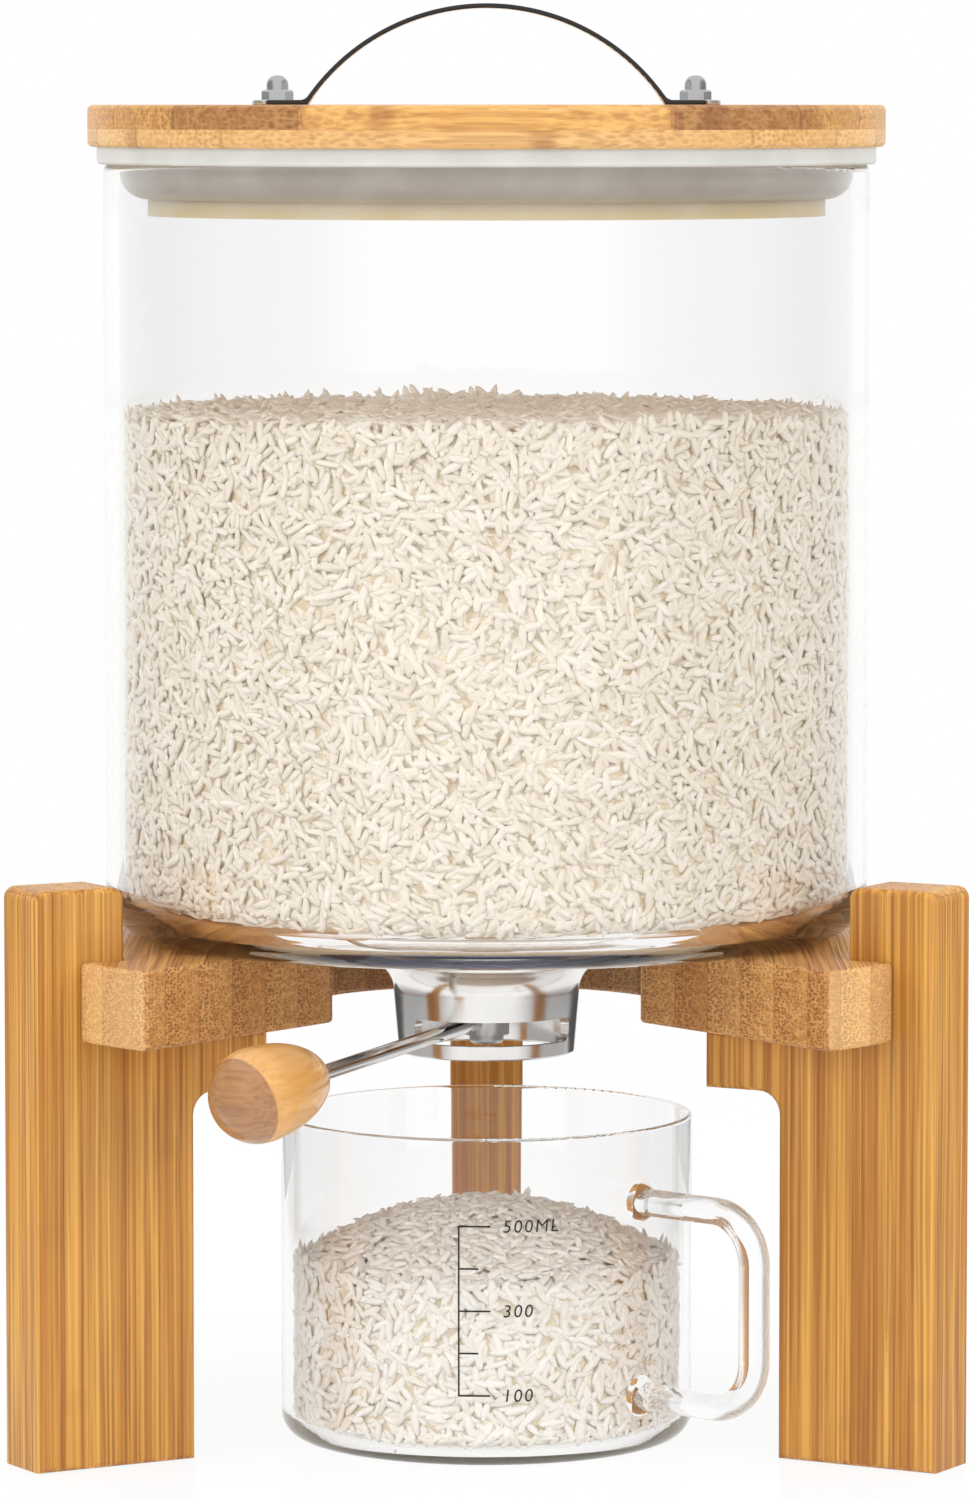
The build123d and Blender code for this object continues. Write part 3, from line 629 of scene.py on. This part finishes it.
dress("leg_dowels", bamboo("dowel_wood", (0, 0, 1), (1, 0, 0), 0.02, lower_ply_tones, 0.3, 14))
dress("lever_knob", knob_wood())
dress("lever_rod", polished_steel)
dress("cap_nuts", nut_steel)
dress("lid_handle", strap_steel())
for node in ("valve_body", "lock_nut"):
    dress(node, satin_steel)
for node in ("port_plate", "shutter"):
    dress(node, brushed_steel)
for node in ("leg_screws", "retaining_ring", "pivot_screw", "stop_pin", "handle_screws"):
    dress(node, zinc_steel)
for node in ("lower_gasket", "upper_gasket"):
    dress(node, gasket_rubber)
dress("lid_seal", seal_silicone)
dress("glass_jar", jar_glass)
dress("cup_glass", cup_glass)


# Pieces


def add_piece(name, points, faces, material, body, smooth=True):
    """A mesh object that rides on a body."""
    mesh = bpy.data.meshes.new(name)
    mesh.from_pydata(points, [], faces)
    mesh.materials.append(material)
    if smooth:
        mesh.shade_smooth()
    mesh.update()
    piece = bpy.data.objects.new(name, mesh)
    bpy.context.scene.collection.objects.link(piece)
    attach(piece, body)
    return piece


def lathe(name, profile, centre, segments, material, body):
    """A closed turned form from (radius, height) pairs that start and end on the axis."""
    points = []
    faces = []
    inner = profile[1:-1]
    points.append((centre.x, centre.y, profile[0][1]))
    for radius, height in inner:
        for step in range(segments):
            turn = 2 * math.pi * step / segments
            points.append((centre.x + radius * math.cos(turn), centre.y + radius * math.sin(turn), height))
    points.append((centre.x, centre.y, profile[-1][1]))
    last = len(points) - 1
    for step in range(segments):
        after = (step + 1) % segments
        faces.append((0, 1 + step, 1 + after))
        for ring in range(len(inner) - 1):
            base = 1 + ring * segments
            faces.append((base + step, base + segments + step, base + segments + after, base + after))
        base = 1 + (len(inner) - 1) * segments
        faces.append((base + step, last, base + after))
    return add_piece(name, points, faces, material, body)


def heap_of_grains(name, spots, normals, chance, tilt, flat, material, body):
    """One mesh of rice grains that lie on a surface, given its spots and normals."""
    count = len(spots)
    turn = chance.uniform(0, 2 * math.pi, count)
    lean = np.radians(chance.normal(0, tilt, count))
    length = GRAIN_LENGTH * chance.uniform(0.78, 1.12, count)
    radius = GRAIN_RADIUS * chance.uniform(0.82, 1.12, count)
    helper = np.where(np.abs(normals[:, 2:3]) > 0.9, [[1.0, 0.0, 0.0]], [[0.0, 0.0, 1.0]])
    first = np.cross(helper, normals)
    first /= np.linalg.norm(first, axis=1, keepdims=True)
    second = np.cross(normals, first)
    lying = first * np.cos(turn)[:, None] + second * np.sin(turn)[:, None]
    axis = lying * np.cos(lean)[:, None] + normals * np.sin(lean)[:, None]
    side = np.cross(axis, normals)
    side /= np.linalg.norm(side, axis=1, keepdims=True)
    up = np.cross(side, axis)
    rings = [spots - 0.5 * length[:, None] * axis]
    for along, share in GRAIN_RINGS:
        for step in range(GRAIN_SIDES):
            angle = 2 * math.pi * step / GRAIN_SIDES
            offset = side * math.cos(angle) + up * (flat * math.sin(angle))
            rings.append(spots + (along * length)[:, None] * axis + (share * radius)[:, None] * offset)
    rings.append(spots + 0.5 * length[:, None] * axis)
    per_grain = len(rings)
    points = np.stack(rings, axis=1).reshape(-1, 3)
    template = []
    for step in range(GRAIN_SIDES):
        after = (step + 1) % GRAIN_SIDES
        template.append((0, 1 + after, 1 + step))
        for ring in range(len(GRAIN_RINGS) - 1):
            base = 1 + ring * GRAIN_SIDES
            above = base + GRAIN_SIDES
            template.append((base + step, base + after, above + after, above + step))
        base = 1 + (len(GRAIN_RINGS) - 1) * GRAIN_SIDES
        template.append((base + step, base + after, per_grain - 1))
    faces = [
        tuple(corner + grain * per_grain for corner in face)
        for grain in range(count)
        for face in template
    ]
    piece = add_piece(name, points.tolist(), faces, material, body)
    tones = piece.data.attributes.new("grain_tone", "FLOAT", "POINT")
    tones.data.foreach_set("value", np.repeat(chance.uniform(0, 1, count), per_grain).astype(np.float32))
    return piece


def wall_spots(centre, shape, low, high, turn_from, turn_to, spacing, chance, top_at):
    """Jittered spots just inside a round wall and its rounded floor corner, with their normals."""
    radius_at, lean_at = shape
    widest = radius_at(high)
    columns = int(widest * math.radians(turn_to - turn_from) / spacing)
    rows = int((high - low) / spacing)
    column, row = np.meshgrid(np.arange(columns), np.arange(rows))
    column = (column.ravel() + chance.uniform(0, 1, column.size)) / columns
    row = (row.ravel() + chance.uniform(0, 1, row.size)) / rows
    turn = np.radians(turn_from + (turn_to - turn_from) * column)
    height = low + (high - low) * row
    kept = height < top_at(turn)
    turn, height = turn[kept], height[kept]
    depth = GRAIN_CLEARANCE + GRAIN_RADIUS + GRAIN_DEPTH_SPREAD * chance.uniform(0, 1, turn.size)
    lean = np.array([lean_at(value) for value in height])
    radius = np.array([radius_at(value) for value in height]) - depth * np.cos(lean)
    height = height + depth * np.sin(lean)
    spots = np.stack((centre.x + radius * np.cos(turn), centre.y + radius * np.sin(turn), height), axis=1)
    normals = np.stack((np.cos(lean) * np.cos(turn), np.cos(lean) * np.sin(turn), -np.sin(lean)), axis=1)
    return spots, normals


def top_spots(centre, radius, height_at, spacing, chance):
    """Jittered spots over a round top surface, with their normals."""
    reach = int(radius / spacing) + 1
    column, row = np.meshgrid(np.arange(-reach, reach), np.arange(-reach, reach))
    x = (column.ravel() + chance.uniform(0, 1, column.size)) * spacing
    y = (row.ravel() + chance.uniform(0, 1, row.size)) * spacing
    distance = np.hypot(x, y)
    kept = distance < radius
    x, y, distance = x[kept], y[kept], distance[kept]
    step = 0.001
    slope = (height_at(distance + step) - height_at(distance)) / step
    height = height_at(distance) + chance.uniform(-0.0012, 0.0010, x.size)
    safe = np.maximum(distance, step)
    normals = np.stack((-slope * x / safe, -slope * y / safe, np.ones_like(x)), axis=1)
    normals /= np.linalg.norm(normals, axis=1, keepdims=True)
    spots = np.stack((centre.x + x, centre.y + y, height), axis=1)
    return spots, normals


def rounded_wall(inside, floor, corner):
    """A vessel's inner radius by height, and how far its wall leans there."""

    def below(height):
        return min(max(0.0, floor + corner - height), corner)

    def radius_at(height):
        return inside - corner + math.sqrt(corner**2 - below(height) ** 2)

    def lean_at(height):
        return math.asin(below(height) / corner)

    return radius_at, lean_at


def floor_corner(radius, floor, corner):
    """Profile points of a rounded floor corner, from the wall down to the floor."""
    points = []
    for turn in range(0, 91, 15):
        angle = math.radians(turn)
        across = radius - corner + corner * math.cos(angle)
        points.append((across, floor + corner - corner * math.sin(angle)))
    return points


def uneven(level, rise, chance):
    """A wavy upper edge around a wall."""
    phase = chance.uniform(0, 2 * math.pi, 3)

    def top_at(turn):
        wave = np.sin(2 * turn + phase[0])
        wave += 0.6 * np.sin(5 * turn + phase[1])
        wave += 0.4 * np.sin(9 * turn + phase[2])
        return level + rise * wave / 2

    return top_at


jar_wall_shape = rounded_wall(jar_inside, jar_floor_top, JAR_FLOOR_ROUND)
cup_wall_shape = rounded_wall(cup_inside, CUP_FLOOR, CUP_FLOOR_ROUND)


def fill_jar():
    """Rice in the jar: a shaded bed with grains on its wall and its top."""
    chance = np.random.default_rng(7)
    bed_radius = jar_inside - BED_GAP
    low = jar_floor_top + BED_GAP / 4
    neck_room = nut_reach + NECK_CLEARANCE
    neck_clear = neck_top + NECK_CLEARANCE
    bed_top = JAR_RICE_TOP - BED_GAP / 2
    profile = [(0, bed_top), (bed_radius * 0.5, bed_top), (bed_radius, bed_top)]
    profile += floor_corner(bed_radius, low, JAR_FLOOR_ROUND)
    profile += [(neck_room, low), (neck_room, neck_clear), (0, neck_clear)]
    lathe("rice_bed_in_jar", profile, jar_axis, 96, jar_rice_bed, "jar")
    top_at = uneven(JAR_RICE_TOP, JAR_RICE_PILE, chance)
    low_grain = jar_floor_top + GRAIN_CLEARANCE
    for sixth in range(6):
        spots, normals = wall_spots(
            jar_axis,
            jar_wall_shape,
            low_grain,
            JAR_RICE_TOP + JAR_RICE_PILE,
            sixth * 60,
            sixth * 60 + 60,
            JAR_WALL_SPACING,
            chance,
            top_at,
        )
        name = f"rice_jar_wall_{sixth}"
        heap_of_grains(name, spots, normals, chance, WALL_TILT, WALL_FLATNESS, jar_rice, "jar")

    def level_top(distance):
        return np.full_like(distance, JAR_RICE_TOP)

    spots, normals = top_spots(jar_axis, jar_inside - JAR_TOP_INSET, level_top, JAR_TOP_SPACING, chance)
    heap_of_grains("rice_jar_top", spots, normals, chance, 14, TOP_FLATNESS, jar_rice, "jar")


def fill_cup():
    """Rice in the cup: a low mound."""
    chance = np.random.default_rng(11)
    bed_radius = cup_inside - BED_GAP

    def mound(distance):
        share = np.clip(distance / cup_inside, 0, 1)
        return CUP_RICE_EDGE + (CUP_RICE_PEAK - CUP_RICE_EDGE) * (1 - share**2)

    low = CUP_FLOOR + BED_GAP / 4
    profile = [(0, float(mound(0.0)) - BED_GAP / 2)]
    for share in (0.25, 0.5, 0.75, 1.0):
        profile.append((bed_radius * share, float(mound(bed_radius * share)) - BED_GAP / 2))
    profile += floor_corner(bed_radius, low, CUP_FLOOR_ROUND)
    profile.append((0, low))
    lathe("rice_bed_in_cup", profile, cup_axis, 72, cup_rice_bed, "cup")
    top_at = uneven(CUP_RICE_EDGE + CUP_RICE_RISE, CUP_RICE_PILE, chance)
    low_grain = CUP_FLOOR + GRAIN_CLEARANCE
    spots, normals = wall_spots(
        cup_axis,
        cup_wall_shape,
        low_grain,
        CUP_RICE_EDGE + 0.005,
        0,
        360,
        CUP_WALL_SPACING,
        chance,
        top_at,
    )
    heap_of_grains("rice_cup_wall", spots, normals, chance, WALL_TILT, WALL_FLATNESS, cup_rice, "cup")
    spots, normals = top_spots(cup_axis, cup_inside - CUP_TOP_INSET, mound, CUP_TOP_SPACING, chance)
    heap_of_grains("rice_cup_top", spots, normals, chance, 18, TOP_FLATNESS, cup_rice, "cup")


def wrap(x, height, proud):
    """A point on the cup's outside: x is measured round the wall from the front."""
    turn = x / cup_radius
    radius = cup_radius + proud
    return (cup_axis.x + radius * math.sin(turn), cup_axis.y - radius * math.cos(turn), height)


def print_bar(points, faces, x_from, x_to, z_from, z_to):
    """Adds a printed bar, as a thin curved plate."""
    columns = max(1, math.ceil((x_to - x_from) / INK_STEP))
    base = len(points)
    for step in range(columns + 1):
        x = x_from + (x_to - x_from) * step / columns
        for proud in (0.0, INK_THICKNESS):
            points.append(wrap(x, z_from, proud))
            points.append(wrap(x, z_to, proud))
    for step in range(columns):
        at = base + 4 * step
        for a, b in ((0, 1), (1, 3), (3, 2), (2, 0)):
            faces.append((at + a, at + b, at + 4 + b, at + 4 + a))
    faces.append((base, base + 2, base + 3, base + 1))
    end = base + 4 * columns
    faces.append((end, end + 1, end + 3, end + 2))


def print_scale():
    """The measuring scale: a line, ticks and numbers."""
    points = []
    faces = []
    half = SCALE_LINE_WIDTH / 2
    top = SCALE_LOWEST + 4 * SCALE_STEP
    print_bar(points, faces, SCALE_LINE_X - half, SCALE_LINE_X + half, SCALE_LOWEST - half, top + half)
    for step in range(5):
        height = SCALE_LOWEST + step * SCALE_STEP
        reach = LONG_TICK if step % 2 == 0 else SHORT_TICK
        print_bar(points, faces, SCALE_LINE_X + half, SCALE_LINE_X + reach, height - half, height + half)
    add_piece("cup_scale_lines", points, faces, scale_ink, "cup", smooth=False)
    for step, text in ((4, "500ML"), (2, "300"), (0, "100")):
        print_number(text, SCALE_LOWEST + step * SCALE_STEP)


def print_number(text, height):
    """One printed number, bent round the cup's wall."""
    words = bpy.data.curves.new(f"cup_number_{text}", "FONT")
    words.body = text
    words.size = NUMERAL_HEIGHT / NUMERAL_SHARE
    words.space_character = 1.2
    words.shear = 0.12
    words.extrude = INK_THICKNESS / 2
    flat = bpy.data.objects.new(words.name, words)
    bpy.context.scene.collection.objects.link(flat)
    bpy.context.view_layer.update()
    mesh = bpy.data.meshes.new_from_object(flat)
    bpy.data.objects.remove(flat)
    for vertex in mesh.vertices:
        x, y, z = vertex.co
        vertex.co = wrap(NUMERAL_X + x, height - NUMERAL_HEIGHT / 2 + y, z + INK_THICKNESS / 2)
    mesh.materials.clear()
    mesh.materials.append(scale_ink)
    piece = bpy.data.objects.new(f"cup_number_{text}", mesh)
    bpy.context.scene.collection.objects.link(piece)
    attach(piece, "cup")


fill_jar()
fill_cup()
print_scale()


# Stage, light and camera


def seen_share(tree, path):
    """1 for rays from the camera, a mirror or glass, and 0 for light on matt surfaces."""
    seen = math_node(tree, "ADD", path.outputs["Is Camera Ray"], path.outputs["Is Glossy Ray"], clamp=True)
    return math_node(tree, "ADD", seen, path.outputs["Is Transmission Ray"], clamp=True)


def side_flags(tree, path, sideways):
    """Grey flags at both sides, for what glass and metal show to the camera; 1 where there is none."""
    flag = ramp(tree, sideways, 0.5, 0.95, 1.0, 0.4)
    plain = math_node(tree, "MAXIMUM", path.outputs["Is Camera Ray"], path.outputs["Diffuse Depth"])
    plain = math_node(tree, "MAXIMUM", plain, path.outputs["Is Diffuse Ray"])
    return math_node(tree, "MAXIMUM", flag, plain, clamp=True)


def white_stage_material():
    """A white floor that keeps a soft shadow and a faint reflection."""
    material, tree, shader = new_material("studio_floor")
    shader.inputs["Base Color"].default_value = (1.0, 1.0, 1.0, 1.0)
    shader.inputs["Roughness"].default_value = 0.12
    shader.inputs["Specular IOR Level"].default_value = 0.25
    glow = put(tree, "ShaderNodeEmission", {"Color": (1.0, 1.0, 1.0, 1.0), "Strength": 1.0})
    path = put(tree, "ShaderNodeLightPath")
    place = object_place(tree)
    distance = put(tree, "ShaderNodeVectorMath", {0: place}, operation="LENGTH").outputs["Value"]
    share = ramp(tree, distance, 0.2, 0.7, 0.88, 1.0)
    share = math_node(tree, "MULTIPLY", seen_share(tree, path), share)
    sideways = math_node(tree, "ABSOLUTE", put(tree, "ShaderNodeSeparateXYZ", {0: place}).outputs["X"])
    sideways = math_node(tree, "DIVIDE", sideways, math_node(tree, "MAXIMUM", distance, 0.4))
    tree.links.new(side_flags(tree, path, sideways), glow.inputs["Strength"])
    mixed = put(tree, "ShaderNodeMixShader", {0: share, 1: shader.outputs[0], 2: glow.outputs[0]})
    tree.links.new(mixed.outputs[0], tree.nodes["Material Output"].inputs["Surface"])
    return material


def flat_square(name, half, material):
    """A square that lies flat, for the stage; half is half its side."""
    mesh = bpy.data.meshes.new(name)
    corners = [(-half, -half, 0), (half, -half, 0), (half, half, 0), (-half, half, 0)]
    mesh.from_pydata(corners, [], [(0, 1, 2, 3)])
    mesh.materials.append(material)
    square = bpy.data.objects.new(name, mesh)
    bpy.context.scene.collection.objects.link(square)
    return square


def build_stage():
    """Floor and white surroundings."""
    floor = flat_square("studio_floor", FLOOR_REACH, white_stage_material())
    floor.location.z = -FLOOR_GAP
    world = bpy.data.worlds.new("studio_world")
    world.use_nodes = True
    bpy.context.scene.world = world
    tree = world.node_tree
    background = tree.nodes["Background"]
    path = put(tree, "ShaderNodeLightPath")
    strength = ramp(tree, seen_share(tree, path), 0.0, 1.0, 0.55, 1.0)
    toward = put(tree, "ShaderNodeTexCoord").outputs["Generated"]
    sideways = math_node(tree, "ABSOLUTE", put(tree, "ShaderNodeSeparateXYZ", {0: toward}).outputs["X"])
    strength = math_node(tree, "MULTIPLY", strength, side_flags(tree, path, sideways))
    background.inputs["Color"].default_value = (1.0, 1.0, 1.0, 1.0)
    tree.links.new(strength, background.inputs["Strength"])


def add_softbox(name, place, aim, width, height, power):
    """A rectangular area lamp that faces a point."""
    lamp = bpy.data.lights.new(name, "AREA")
    lamp.shape = "RECTANGLE"
    lamp.size = width
    lamp.size_y = height
    lamp.energy = power
    holder = bpy.data.objects.new(name, lamp)
    holder.location = place
    holder.rotation_euler = (Vector(aim) - Vector(place)).to_track_quat("-Z", "Y").to_euler()
    holder.visible_glossy = False
    holder.visible_transmission = False
    bpy.context.scene.collection.objects.link(holder)


def add_dark_card(name, place, size):
    """A dark card on the floor that only polished surfaces mirror."""
    material, tree, shader = new_material(name)
    shader.inputs["Base Color"].default_value = (0.03, 0.03, 0.03, 1.0)
    shader.inputs["Roughness"].default_value = 1.0
    card = flat_square(name, size / 2, material)
    card.location = place
    card.visible_camera = False
    card.visible_diffuse = False
    card.visible_transmission = False
    card.visible_shadow = False


def build_light():
    """Two large side softboxes, one above, and two dark cards for the metal."""
    middle = (0, jar_axis.y, 0.16)
    add_softbox("top_softbox", (0, -0.2, 1.7), middle, 1.4, 1.4, TOP_POWER)
    for side, way in (("left", -1), ("right", 1)):
        add_softbox(f"{side}_softbox", (way * 1.5, -1.1, 0.7), middle, 1.2, 1.4, SIDE_POWER)
        add_dark_card(f"{side}_floor_card", (way * 0.62, 0.75, CARD_HEIGHT), CARD_SIZE)


def add_camera():
    """The photograph's viewpoint: above the lid, looking slightly down."""
    camera = bpy.data.cameras.new("photo_camera")
    camera.sensor_fit = "VERTICAL"
    camera.sensor_height = 36.0
    camera.lens = camera.sensor_height * FOCAL_PIXELS / IMAGE_SIZE[1]
    camera.clip_start = 0.05
    camera.clip_end = 50.0
    holder = bpy.data.objects.new("photo_camera", camera)
    pitch = math.atan((IMAGE_SIZE[1] / 2 - HORIZON_PIXEL) / FOCAL_PIXELS)
    holder.location = (0, jar_axis.y - CAMERA_DISTANCE, CAMERA_HEIGHT)
    holder.rotation_euler = (math.pi / 2 - pitch, 0, 0)
    bpy.context.scene.collection.objects.link(holder)
    bpy.context.scene.camera = holder


build_stage()
build_light()
add_camera()
bpy.context.scene.view_settings.view_transform = "Standard"
bpy.context.scene.cycles.max_bounces = 24
bpy.context.scene.cycles.transmission_bounces = 24
bpy.context.scene.cycles.glossy_bounces = 8
bpy.context.scene.cycles.diffuse_bounces = 6
